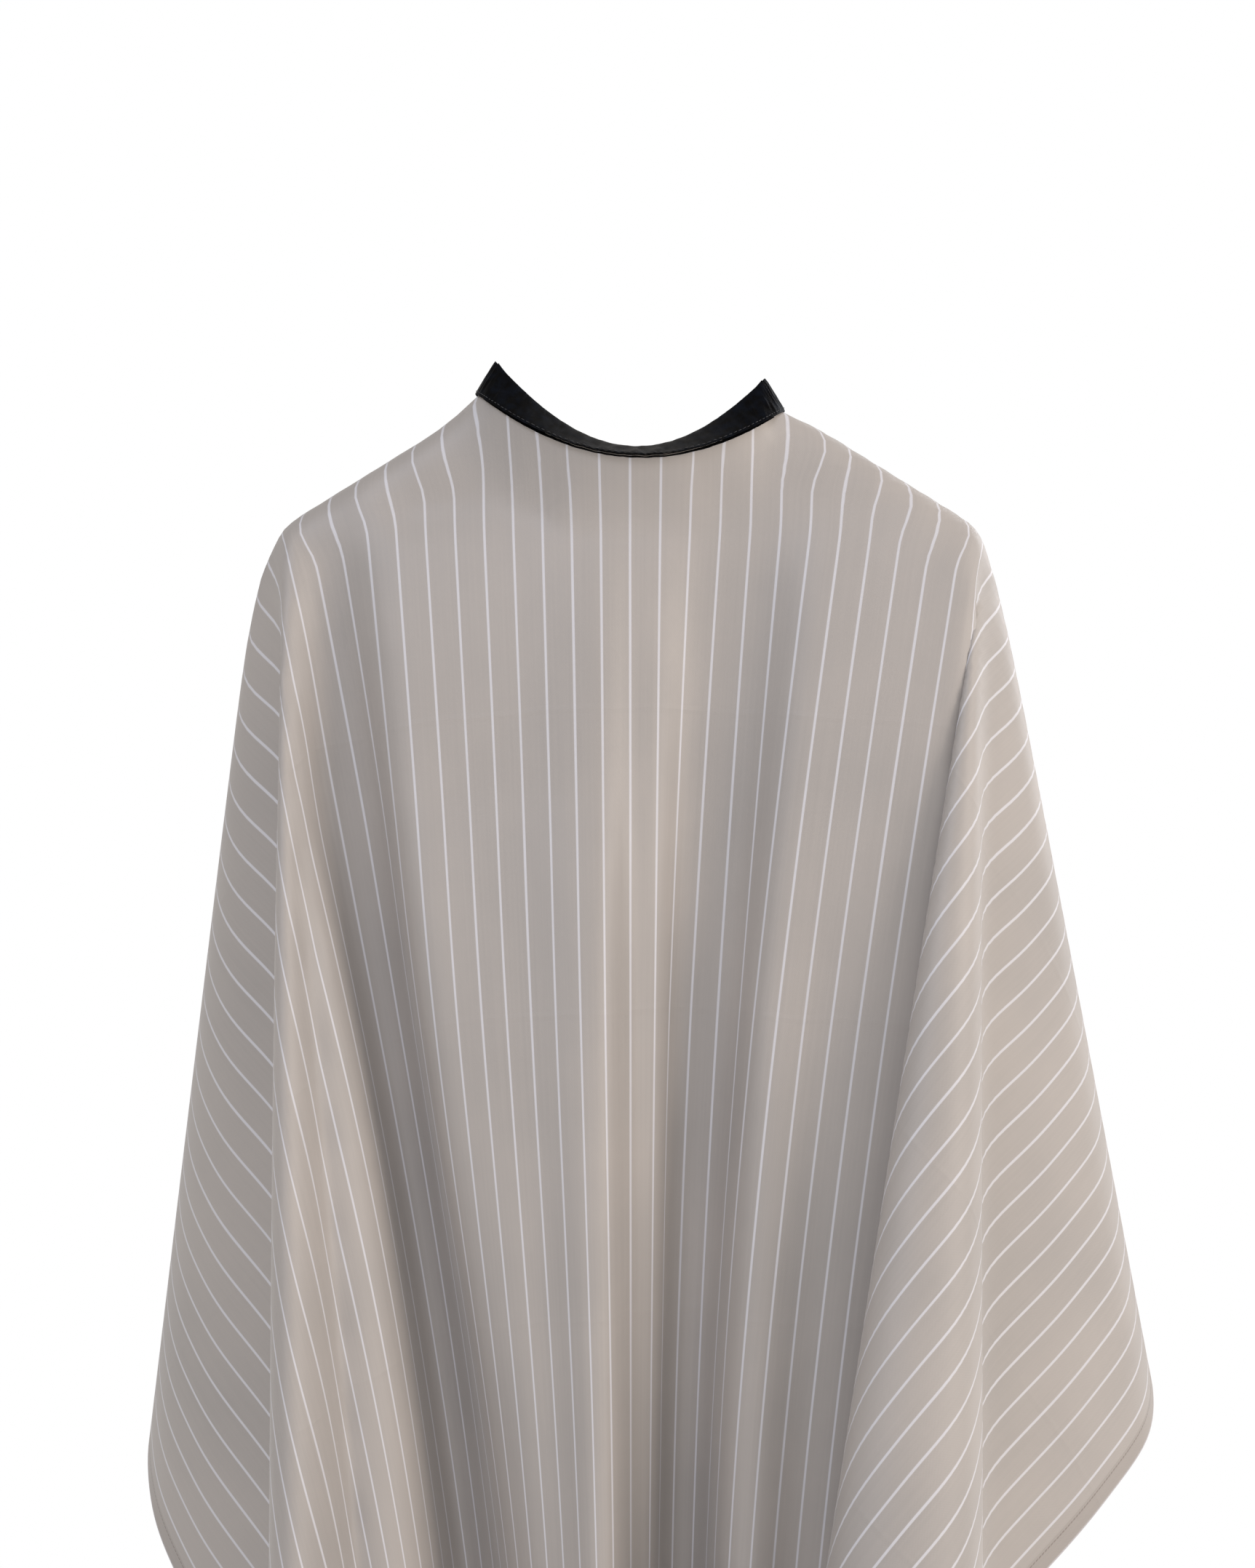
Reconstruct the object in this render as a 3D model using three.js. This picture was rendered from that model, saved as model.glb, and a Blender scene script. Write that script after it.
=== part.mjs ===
// Barber cape: one sheet of cloth with a neck cut-out and a slit down the back, a snap neckband round the
// cut-out, and a free tongue on the band that snaps over a row of studs.
// Millimetres. +X is the viewer's right, -Y the front of the cape, +Z up.
// The origin is where the shoulders of the cape rest on the hanger that holds it up.
import * as THREE from "three";
import { mergeVertices } from "three/addons/utils/BufferGeometryUtils.js";

// ---- driving dimensions -------------------------------------------------------------------------------
const NECK_HALF_WIDTH = 98;
const NECK_HALF_DEPTH = 45;
const FRONT_DROOP = 36;
const BACK_DROOP = 60;
const NECK_TILT = 0.056;
const BAND_HEIGHT = 25;
const CLOTH = 0.8;
const ELASTIC = 1.0;
const PANEL_CLOTH = 1.2;
const CLEARANCE = 0.3;

const SHOULDER_REACH = 224;
const SHOULDER_DROP = 78;
const SHOULDER_HALF_DEPTH = NECK_HALF_DEPTH + 7;
const YOKE_DROP = 84;
const FRONT_HEM = 1235;
const BACK_HEM = 470;
const RIGHT_SIDE = { hem: 655, flare: 0.205 };
const LEFT_SIDE = { hem: 745, flare: 0.128 };
const FRONT_FLARE = 0.22;
const BACK_FLARE = 0.32;
const SQUARENESS = 2.6;
const FOLD_COUNT = 11;
const FOLD_DEPTH = 9;
const SLIT_GAP_TOP = 1.5;
const SLIT_GAP_HEM = 14;

const SNAP_PITCH = 20;
const SNAP_COUNT = 6;
const SNAP_DIAMETER = 11.5;
const HEAD_DIAMETER = 4.2;
const STUD_RISE = 2.0;
const FIRST_STUD = 16;
const CLOSED_SNAPS = 2;
const TONGUE_LENGTH = 58;
const TONGUE_HEIGHT = 21;

// ---- looks --------------------------------------------------------------------------------------------
const CAPE_CLOTH = { color: 0xa99f9b, roughness: 0.6, metalness: 0 };
const BAND_CLOTH = { color: 0x0c0d10, roughness: 0.7, metalness: 0 };
const RUBBER_KNIT = { color: 0x2a2a2c, roughness: 0.9, metalness: 0 };
const NICKEL = { color: 0xa8aaa6, roughness: 0.3, metalness: 1 };
const BRASS = { color: 0xb79a5a, roughness: 0.35, metalness: 1 };

const group = new THREE.Group();
group.name = "barber_cape";

function addPart(name, geometry, look) {
  const mesh = new THREE.Mesh(geometry, new THREE.MeshStandardMaterial(look));
  mesh.name = name;
  mesh.material.name = `${name}_look`;
  group.add(mesh);
}

const mix = (from, to, share) => from + (to - from) * share;

function smoothStep(low, high, value) {
  const share = Math.min(1, Math.max(0, (value - low) / (high - low)));
  return share * share * (3 - 2 * share);
}

// ---- closed solids from grids and sections ------------------------------------------------------------

// A solid from a list of triangles, with shared corners joined.
function solidFromTriangles(corners) {
  const geometry = new THREE.BufferGeometry();
  const places = corners.flatMap((p) => [p.x, p.y, p.z]);
  geometry.setAttribute("position", new THREE.Float32BufferAttribute(places, 3));
  const joined = mergeVertices(geometry, 1e-4);
  joined.computeVertexNormals();
  return joined;
}

// Two triangles for the four-sided patch a, b, c, d.
function patch(a, b, c, d) {
  return [a, b, c, a, c, d];
}

// Sweeps a closed outline along a row of sections and caps both ends. The last side is split the other way,
// so that facing sides of nested strips are split alike and keep their gap.
function loft(sections) {
  const corners = [];
  const sides = sections[0].length;
  for (let i = 0; i + 1 < sections.length; i += 1) {
    for (let j = 0; j < sides; j += 1) {
      const next = (j + 1) % sides;
      const quad = [sections[i][j], sections[i + 1][j], sections[i + 1][next], sections[i][next]];
      if (next < j) quad.unshift(quad.pop());
      corners.push(...patch(...quad));
    }
  }
  const [first, last] = [sections[0], sections[sections.length - 1]];
  for (let j = 1; j + 1 < sides; j += 1) {
    corners.push(first[0], first[j], first[j + 1]);
    corners.push(last[0], last[j + 1], last[j]);
  }
  return solidFromTriangles(corners);
}

// Gives a grid of points (columns by levels) a thickness on its inner side and closes the rim.
function thickSheet(grid, thickness) {
  const columns = grid.length;
  const levels = grid[0].length;
  const at = (i, j) => grid[Math.min(columns - 1, Math.max(0, i))][Math.min(levels - 1, Math.max(0, j))];
  const inner = grid.map((column, i) => column.map((point, j) => {
    const across = at(i + 1, j).clone().sub(at(i - 1, j));
    const down = at(i, j + 1).clone().sub(at(i, j - 1));
    return point.clone().addScaledVector(across.cross(down).normalize(), -thickness);
  }));
  const corners = [];
  for (let i = 0; i + 1 < columns; i += 1) {
    for (let j = 0; j + 1 < levels; j += 1) {
      corners.push(...patch(grid[i][j], grid[i + 1][j], grid[i + 1][j + 1], grid[i][j + 1]));
      corners.push(...patch(inner[i][j], inner[i][j + 1], inner[i + 1][j + 1], inner[i + 1][j]));
    }
  }
  const end = columns - 1;
  const foot = levels - 1;
  for (let i = 0; i < end; i += 1) {
    corners.push(...patch(grid[i][0], inner[i][0], inner[i + 1][0], grid[i + 1][0]));
    corners.push(...patch(grid[i][foot], grid[i + 1][foot], inner[i + 1][foot], inner[i][foot]));
  }
  for (let j = 0; j < foot; j += 1) {
    corners.push(...patch(grid[0][j], grid[0][j + 1], inner[0][j + 1], inner[0][j]));
    corners.push(...patch(grid[end][j], inner[end][j], inner[end][j + 1], grid[end][j + 1]));
  }
  return solidFromTriangles(corners);
}

// ---- the line of the neck -----------------------------------------------------------------------------
const BACK = Math.PI / 2;
const FRONT_LEAN = 1.3;
const SIDE_LEAN = 0.55;

// How far the band leans in toward the neck: most at the front, upright at the back.
function leanAt(angle) {
  const reach = Math.sin(angle) ** 2;
  if (Math.sin(angle) < 0) return mix(SIDE_LEAN, FRONT_LEAN, reach);
  return SIDE_LEAN * (1 - reach) ** 2;
}

// The point on the neck line at this angle, raised up the band and moved out from it.
function bandFrame(angle) {
  const base = new THREE.Vector3(NECK_HALF_WIDTH * Math.cos(angle), NECK_HALF_DEPTH * Math.sin(angle), 0);
  const droop = Math.sin(angle) < 0 ? FRONT_DROOP : BACK_DROOP;
  base.z = -droop * Math.sin(angle) ** 2 - NECK_TILT * base.x;
  const level = new THREE.Vector3(Math.cos(angle) / NECK_HALF_WIDTH, Math.sin(angle) / NECK_HALF_DEPTH, 0);
  level.normalize();
  const lean = leanAt(angle);
  const up = level.clone().multiplyScalar(-Math.sin(lean)).setZ(Math.cos(lean));
  const out = level.clone().multiplyScalar(Math.cos(lean)).setZ(Math.sin(lean));
  return { base, up, out };
}

function bandPoint(angle, height, offset) {
  const { base, up, out } = bandFrame(angle);
  return base.clone().addScaledVector(up, height).addScaledVector(out, offset);
}

// The band's true outward normal, which allows for its slope as well as its lean.
function bandNormal(angle, height) {
  const step = 0.01;
  const along = bandPoint(angle + step, height, 0).sub(bandPoint(angle - step, height, 0));
  return along.cross(bandFrame(angle).up).normalize();
}

// The angle reached by walking this far along the neck line from the middle of the back,
// toward the viewer's left when the distance is positive.
function angleFromBack(distance) {
  const step = Math.sign(distance) * 0.002;
  let angle = BACK;
  let walked = 0;
  while (walked < Math.abs(distance)) {
    walked += bandPoint(angle, 0, 0).distanceTo(bandPoint(angle + step, 0, 0));
    angle += step;
  }
  return angle;
}

// How far the hollow side of the band falls away under a flat disc of this radius.
function sagUnder(angle, radius) {
  const spread = (NECK_HALF_WIDTH * Math.sin(angle)) ** 2 + (NECK_HALF_DEPTH * Math.cos(angle)) ** 2;
  const bend = spread ** 1.5 / (NECK_HALF_WIDTH * NECK_HALF_DEPTH);
  return radius ** 2 / (2 * bend);
}

// ---- neckband: two cloths with the elastic between them -----------------------------------------------
const BAND_STEPS = 96;
const BAND_END_GAP = 1.5;
const bandLeft = angleFromBack(BAND_END_GAP);
const bandRight = angleFromBack(-BAND_END_GAP) + 2 * Math.PI;

// A strip of the band between two heights and two offsets from the neck line.
function bandStrip(start, stop, steps, low, high, inside, outside) {
  const sections = [];
  for (let i = 0; i <= steps; i += 1) {
    const angle = mix(start, stop, i / steps);
    sections.push([
      bandPoint(angle, low(i / steps), inside),
      bandPoint(angle, low(i / steps), outside),
      bandPoint(angle, high(i / steps), outside),
      bandPoint(angle, high(i / steps), inside),
    ]);
  }
  return loft(sections);
}

const elasticHalf = ELASTIC / 2;
const outerFace = elasticHalf + CLEARANCE + CLOTH;
const innerFace = -outerFace;
const fullLow = () => 0;
const fullHigh = () => BAND_HEIGHT;
const ELASTIC_MARGIN = 2;
addPart("neckband_outer", bandStrip(bandLeft, bandRight, BAND_STEPS, fullLow, fullHigh,
  outerFace - CLOTH, outerFace), BAND_CLOTH);
addPart("neckband_lining", bandStrip(bandLeft, bandRight, BAND_STEPS, fullLow, fullHigh,
  innerFace, innerFace + CLOTH), BAND_CLOTH);
addPart("neckband_elastic", bandStrip(bandLeft, bandRight, BAND_STEPS, () => ELASTIC_MARGIN,
  () => BAND_HEIGHT - ELASTIC_MARGIN, -elasticHalf, elasticHalf), RUBBER_KNIT);

// ---- snaps --------------------------------------------------------------------------------------------
const SNAP_SEGMENTS = 20;
const STUD_BASE = 0.7;
const snapHeight = BAND_HEIGHT / 2;
const snapRadius = SNAP_DIAMETER / 2;
const headRadius = HEAD_DIAMETER / 2;

// Places a turned piece on the band, with its own axis along the outward normal.
function onBand(distance, offset, profile) {
  const angle = angleFromBack(distance);
  const normal = bandNormal(angle, snapHeight);
  const geometry = new THREE.LatheGeometry(profile.map(([r, h]) => new THREE.Vector2(r, h)), SNAP_SEGMENTS);
  const turn = new THREE.Quaternion().setFromUnitVectors(new THREE.Vector3(0, 1, 0), normal);
  const seat = bandPoint(angle, snapHeight, 0).addScaledVector(normal, offset);
  return geometry.applyQuaternion(turn).translate(seat.x, seat.y, seat.z);
}

const STUD_PROFILE = [
  [0, 0], [snapRadius, 0], [snapRadius, STUD_BASE * 0.6],
  [snapRadius - 1, STUD_BASE], [headRadius - 0.4, STUD_BASE],
  [headRadius - 0.4, STUD_BASE + 0.6], [headRadius, STUD_BASE + 1.2],
  [headRadius - 0.6, STUD_BASE + STUD_RISE],
  [0, STUD_BASE + STUD_RISE],
];
const PRONG_RING_PROFILE = [
  [snapRadius - 2.4, 0], [snapRadius - 2.4, -0.9], [snapRadius - 1, -0.9], [snapRadius - 0.4, -0.5],
  [snapRadius - 0.4, 0], [snapRadius - 2.4, 0],
];
for (let i = 0; i < SNAP_COUNT; i += 1) {
  const distance = FIRST_STUD + i * SNAP_PITCH;
  addPart(`snap_stud_${i + 1}`, onBand(distance, outerFace + CLEARANCE, STUD_PROFILE), NICKEL);
  const hollow = sagUnder(angleFromBack(distance), snapRadius);
  const inside = innerFace - 2 * CLEARANCE - hollow;
  addPart(`prong_ring_${i + 1}`, onBand(distance, inside, PRONG_RING_PROFILE), BRASS);
}

// ---- tongue: the free end of the band, over the first studs -------------------------------------------
const TONGUE_STEPS = 28;
const socketRoom = STUD_BASE + CLEARANCE * 2;
const SOCKET_HEIGHT = 2.4;
const SOCKET_BORE = headRadius + 0.75;
const SPRING_WIRE = 0.35;
const socketSeat = outerFace + CLEARANCE + socketRoom;
const tongueInner = socketSeat + SOCKET_HEIGHT + CLEARANCE;
const tongueOuter = tongueInner + CLOTH * 2 + CLEARANCE;
const tongueRoot = angleFromBack(-BAND_END_GAP);
const tongueTip = angleFromBack(TONGUE_LENGTH);

// Half the height of the tongue along its length, rounded off at the tip.
function tongueHalfHeight(share) {
  const left = (1 - share) * TONGUE_LENGTH;
  const radius = TONGUE_HEIGHT / 2;
  if (left >= radius) return radius;
  return Math.max(1.5, Math.sqrt(radius ** 2 - (radius - left) ** 2));
}
const tongueLow = (share) => snapHeight - tongueHalfHeight(share);
const tongueHigh = (share) => snapHeight + tongueHalfHeight(share);
addPart("tongue_outer", bandStrip(tongueRoot, tongueTip, TONGUE_STEPS, tongueLow, tongueHigh,
  tongueOuter - CLOTH, tongueOuter), BAND_CLOTH);
addPart("tongue_lining", bandStrip(tongueRoot, tongueTip, TONGUE_STEPS, tongueLow, tongueHigh,
  tongueInner, tongueInner + CLOTH), BAND_CLOTH);

const SOCKET_PROFILE = [
  [SOCKET_BORE, 0], [snapRadius - 0.8, 0], [snapRadius, 0.8], [snapRadius, SOCKET_HEIGHT],
  [SOCKET_BORE + 0.8, SOCKET_HEIGHT], [SOCKET_BORE + 0.8, 0.8], [SOCKET_BORE, 0.8], [SOCKET_BORE, 0],
];
const SPRING_PROFILE = [
  [SOCKET_BORE - SPRING_WIRE * 0.5, 1.1], [SOCKET_BORE + SPRING_WIRE, 1.1],
  [SOCKET_BORE + SPRING_WIRE, 1.1 + SPRING_WIRE],
  [SOCKET_BORE - SPRING_WIRE * 0.5, 1.1 + SPRING_WIRE], [SOCKET_BORE - SPRING_WIRE * 0.5, 1.1],
];
const CAP_PROFILE = [
  [0, 0], [snapRadius, 0], [snapRadius + 0.2, 0.5], [snapRadius - 0.6, 1.1],
  [snapRadius - 2.4, 1.5], [0, 1.7],
];
for (let i = 0; i < CLOSED_SNAPS; i += 1) {
  const distance = FIRST_STUD + i * SNAP_PITCH;
  addPart(`snap_socket_${i + 1}`, onBand(distance, socketSeat, SOCKET_PROFILE), NICKEL);
  addPart(`socket_spring_${i + 1}`, onBand(distance, socketSeat, SPRING_PROFILE), BRASS);
  addPart(`snap_cap_${i + 1}`, onBand(distance, tongueOuter + CLEARANCE, CAP_PROFILE), NICKEL);
}

// ---- cape panel ---------------------------------------------------------------------------------------
const PANEL_COLUMNS = 88;
const ROOF_LEVELS = 4;
const WALL_LEVELS = 16;
const PANEL_TO_BAND = 4 * CLEARANCE;

// A rounded-square version of a circle: 1 at the sides, squarer than a plain ellipse between them.
function squared(value, share) {
  return Math.sign(value) * Math.abs(value) ** mix(1, 2 / SQUARENESS, share);
}

// How far the hem hangs below the origin at this angle.
function hemAt(angle) {
  const across = Math.abs(Math.cos(angle));
  const side = Math.cos(angle) > 0 ? RIGHT_SIDE : LEFT_SIDE;
  const middle = Math.sin(angle) < 0 ? FRONT_HEM : BACK_HEM;
  const [from, to] = Math.sin(angle) < 0 ? [0.42, 0.86] : [0.1, 0.95];
  return mix(middle, side.hem, smoothStep(from, to, across));
}

function shoulderPoint(angle) {
  const depth = mix(YOKE_DROP, SHOULDER_DROP, Math.cos(angle) ** 2);
  const x = SHOULDER_REACH * squared(Math.cos(angle), 1);
  return new THREE.Vector3(x, SHOULDER_HALF_DEPTH * squared(Math.sin(angle), 1), -depth);
}

// The hanging part: it widens down to the side hem and carries soft folds that grow on the way.
function wallPoint(angle, share) {
  const top = shoulderPoint(angle);
  const drop = share * (hemAt(angle) + top.z);
  const side = Math.cos(angle) > 0 ? RIGHT_SIDE : LEFT_SIDE;
  const spread = Math.min(drop, side.hem - SHOULDER_DROP);
  const grown = smoothStep(0, side.hem, drop) * Math.sin(angle) ** 2;
  const fold = FOLD_DEPTH * grown * Math.cos(FOLD_COUNT * angle);
  const depthFlare = Math.sin(angle) < 0 ? FRONT_FLARE : BACK_FLARE;
  const halfWidth = SHOULDER_REACH + side.flare * spread;
  const halfDepth = SHOULDER_HALF_DEPTH + depthFlare * spread + fold;
  const x = halfWidth * squared(Math.cos(angle), 1);
  return new THREE.Vector3(x, halfDepth * squared(Math.sin(angle), 1), top.z - drop);
}

// The slit opens from the neck to the hem of the back.
function columnAngle(share, opening) {
  const gap = mix(SLIT_GAP_TOP / NECK_HALF_WIDTH, SLIT_GAP_HEM / SHOULDER_REACH, opening);
  return BACK + gap + share * (2 * Math.PI - 2 * gap);
}

const panelGrid = [];
for (let i = 0; i <= PANEL_COLUMNS; i += 1) {
  const column = [];
  const share = i / PANEL_COLUMNS;
  for (let j = 0; j < ROOF_LEVELS; j += 1) {
    const angle = columnAngle(share, 0);
    const neck = bandPoint(angle, -PANEL_TO_BAND, 0);
    column.push(neck.lerp(shoulderPoint(angle), j / ROOF_LEVELS));
  }
  for (let j = 0; j <= WALL_LEVELS; j += 1) {
    column.push(wallPoint(columnAngle(share, j / WALL_LEVELS), j / WALL_LEVELS));
  }
  panelGrid.push(column);
}
addPart("cape_panel", thickSheet(panelGrid, PANEL_CLOTH), CAPE_CLOTH);

export default group;
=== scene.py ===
"""Looks of the barber cape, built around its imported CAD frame.

The cape cloth starts from its flat pattern, is laid over the hanger's arms in pleats and then settles by
cloth simulation. The neckband, its tongue and the snaps are built along the same neck line as the CAD.
Metres; +X is the viewer's right, -Y the front, +Z up.
"""

import math

import bmesh
import bpy
import numpy as np
from mathutils import Matrix, Vector, noise


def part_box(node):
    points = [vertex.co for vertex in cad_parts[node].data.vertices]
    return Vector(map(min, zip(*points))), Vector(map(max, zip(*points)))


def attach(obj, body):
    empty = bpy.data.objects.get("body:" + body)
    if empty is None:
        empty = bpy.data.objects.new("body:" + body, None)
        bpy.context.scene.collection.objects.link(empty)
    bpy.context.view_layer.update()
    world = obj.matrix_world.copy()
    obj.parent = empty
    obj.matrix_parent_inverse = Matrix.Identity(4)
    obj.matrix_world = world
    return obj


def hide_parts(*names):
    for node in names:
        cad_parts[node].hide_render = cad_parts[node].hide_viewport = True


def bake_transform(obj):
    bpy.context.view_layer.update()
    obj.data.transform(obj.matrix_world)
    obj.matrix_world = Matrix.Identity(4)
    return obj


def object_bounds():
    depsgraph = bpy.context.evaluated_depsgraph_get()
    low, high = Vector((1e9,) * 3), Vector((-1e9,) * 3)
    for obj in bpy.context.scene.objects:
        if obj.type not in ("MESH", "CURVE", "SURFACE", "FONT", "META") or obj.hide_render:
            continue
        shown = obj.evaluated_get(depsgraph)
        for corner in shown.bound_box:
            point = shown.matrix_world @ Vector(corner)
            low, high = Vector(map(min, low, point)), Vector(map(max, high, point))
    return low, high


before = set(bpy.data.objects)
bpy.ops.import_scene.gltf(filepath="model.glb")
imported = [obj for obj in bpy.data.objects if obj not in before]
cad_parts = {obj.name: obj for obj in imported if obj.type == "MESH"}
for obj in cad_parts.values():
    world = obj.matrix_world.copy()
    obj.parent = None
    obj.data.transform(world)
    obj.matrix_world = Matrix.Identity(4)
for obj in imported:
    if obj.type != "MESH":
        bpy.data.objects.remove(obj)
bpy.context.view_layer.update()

MM = 0.001


# ---- sizes ------------------------------------------------------------------------------------------------

BAND_HEIGHT = 25 * MM
CLOTH = 0.8 * MM
ELASTIC = 1.0 * MM
CLEARANCE = 0.3 * MM
OUTER_FACE = ELASTIC / 2 + CLEARANCE + CLOTH
FRONT_LEAN = 1.3
SIDE_LEAN = 0.55
band_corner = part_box("neckband_outer")[1]
NECK_HALF_WIDTH = band_corner[0] - OUTER_FACE * math.cos(SIDE_LEAN)
NECK_HALF_DEPTH = band_corner[1] - OUTER_FACE
FRONT_DROOP = 36 * MM
BACK_DROOP = 60 * MM
NECK_TILT = 0.056

SHOULDER_REACH = 224 * MM
SHOULDER_DROP = 78 * MM
ARM_RADIUS = 16 * MM
ARM_SLOPE = math.atan2(SHOULDER_DROP, SHOULDER_REACH - NECK_HALF_WIDTH)
ARM_LENGTH = math.hypot(SHOULDER_DROP, SHOULDER_REACH - NECK_HALF_WIDTH)

CLOTH_HALF_WIDTH = 780 * MM
CLOTH_FRONT = 1155 * MM
CLOTH_BACK = 345 * MM
CLOTH_CORNER = 160 * MM
NECK_CUT_FRONT = 55 * MM
NECK_CUT_BACK = 45 * MM

CELL = 14 * MM
SETTLE_FRAMES = 8
LAID_GRIP = 0.4


# ---- the line of the neck, as in the CAD ------------------------------------------------------------------

BACK_ANGLE = math.pi / 2


def lean_at(angle):
    """How far the band leans in toward the neck: most at the front, upright at the back."""
    reach = math.sin(angle) ** 2
    if math.sin(angle) < 0:
        return SIDE_LEAN + (FRONT_LEAN - SIDE_LEAN) * reach
    return SIDE_LEAN * (1 - reach) ** 2


def band_frame(angle):
    """The point on the neck line at this angle, with the directions up the band and out of it."""
    base = Vector((NECK_HALF_WIDTH * math.cos(angle), NECK_HALF_DEPTH * math.sin(angle), 0))
    droop = FRONT_DROOP if math.sin(angle) < 0 else BACK_DROOP
    base.z = -droop * math.sin(angle) ** 2 - NECK_TILT * base.x
    level = Vector((math.cos(angle) / NECK_HALF_WIDTH, math.sin(angle) / NECK_HALF_DEPTH, 0)).normalized()
    lean = lean_at(angle)
    up = Vector((-level.x * math.sin(lean), -level.y * math.sin(lean), math.cos(lean)))
    out = Vector((level.x * math.cos(lean), level.y * math.cos(lean), math.sin(lean)))
    return base, up, out


def band_point(angle, height, offset):
    base, up, out = band_frame(angle)
    return base + up * height + out * offset


def band_normal(angle, height):
    """The band's true outward normal, which allows for its slope as well as its lean."""
    along = band_point(angle + 0.01, height, 0) - band_point(angle - 0.01, height, 0)
    return along.cross(band_frame(angle)[1]).normalized()


def angle_from_back(distance):
    """The angle reached by walking this far from the middle of the back, toward -X when positive."""
    step = math.copysign(0.002, distance)
    angle = BACK_ANGLE
    walked = 0.0
    while walked < abs(distance):
        walked += (band_frame(angle + step)[0] - band_frame(angle)[0]).length
        angle += step
    return angle


# ---- colours and nodes ------------------------------------------------------------------------------------


def linear(hex_colour):
    """An sRGB hex colour as linear red, green, blue and alpha."""
    parts = [int(hex_colour[i:i + 2], 16) / 255 for i in (1, 3, 5)]
    return tuple(c / 12.92 if c <= 0.04045 else ((c + 0.055) / 1.055) ** 2.4 for c in parts) + (1.0,)


def add_node(tree, kind, inputs, output=0, **settings):
    """Adds a node. An input that is another node's socket is linked, and any other is its fixed value."""
    node = tree.nodes.new(kind)
    for name, value in settings.items():
        setattr(node, name, value)
    for name, given in inputs.items():
        if isinstance(given, bpy.types.NodeSocket):
            tree.links.new(given, node.inputs[name])
        else:
            node.inputs[name].default_value = given
    return node.outputs[output]


def new_material(name, roughness, metallic=0.0, sheen=0.0):
    """A Principled material with its fixed values set on the shader's own sockets."""
    material = bpy.data.materials.new(name)
    material.use_nodes = True
    shader = material.node_tree.nodes["Principled BSDF"]
    shader.inputs["Roughness"].default_value = roughness
    shader.inputs["Metallic"].default_value = metallic
    shader.inputs["Sheen Weight"].default_value = sheen
    shader.inputs["Sheen Roughness"].default_value = 0.4
    return material, material.node_tree, shader


def weave_height(tree, across, along, pitch):
    """Height of a plain weave: warp and weft threads of this pitch that pass over and under."""
    waves = {}
    for number, run in enumerate((across, along)):
        phase = add_node(tree, "ShaderNodeMath", {0: run, 1: 2 * math.pi / pitch}, operation="MULTIPLY")
        waves[number] = add_node(tree, "ShaderNodeMath", {0: phase}, operation="SINE")
    return add_node(tree, "ShaderNodeMath", waves, operation="MULTIPLY")


# ---- materials --------------------------------------------------------------------------------------------

FLAT_MAP = "flat_pattern"
EDGE_ATTRIBUTE = "edge_distance"

STRIPE_PITCH = 20 * MM
STRIPE_WIDTH = 1.7 * MM
STRIPE_WOBBLE = 0.5 * MM
CLOUD_SIZE = 143 * MM
RUMPLE_SIZE = 35.7 * MM
SLUB_WIDTH = 2 * MM
SLUB_LENGTH = 167 * MM
HEM_WIDTH = 12 * MM
HEM_SEAM_INSET = 2 * MM
HEM_STITCH = 3 * MM
HEM_STITCH_GAP = 0.7 * MM
HEM_THREAD = 0.9 * MM
FOLD_MARK_PITCH = 190 * MM
FOLD_MARK_WIDTH = 3 * MM
FOLD_MARK_WANDER = 10 * MM
WANDER_SIZE = 71.4 * MM
DRAWN_WEAVE = 0.9 * MM


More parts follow.
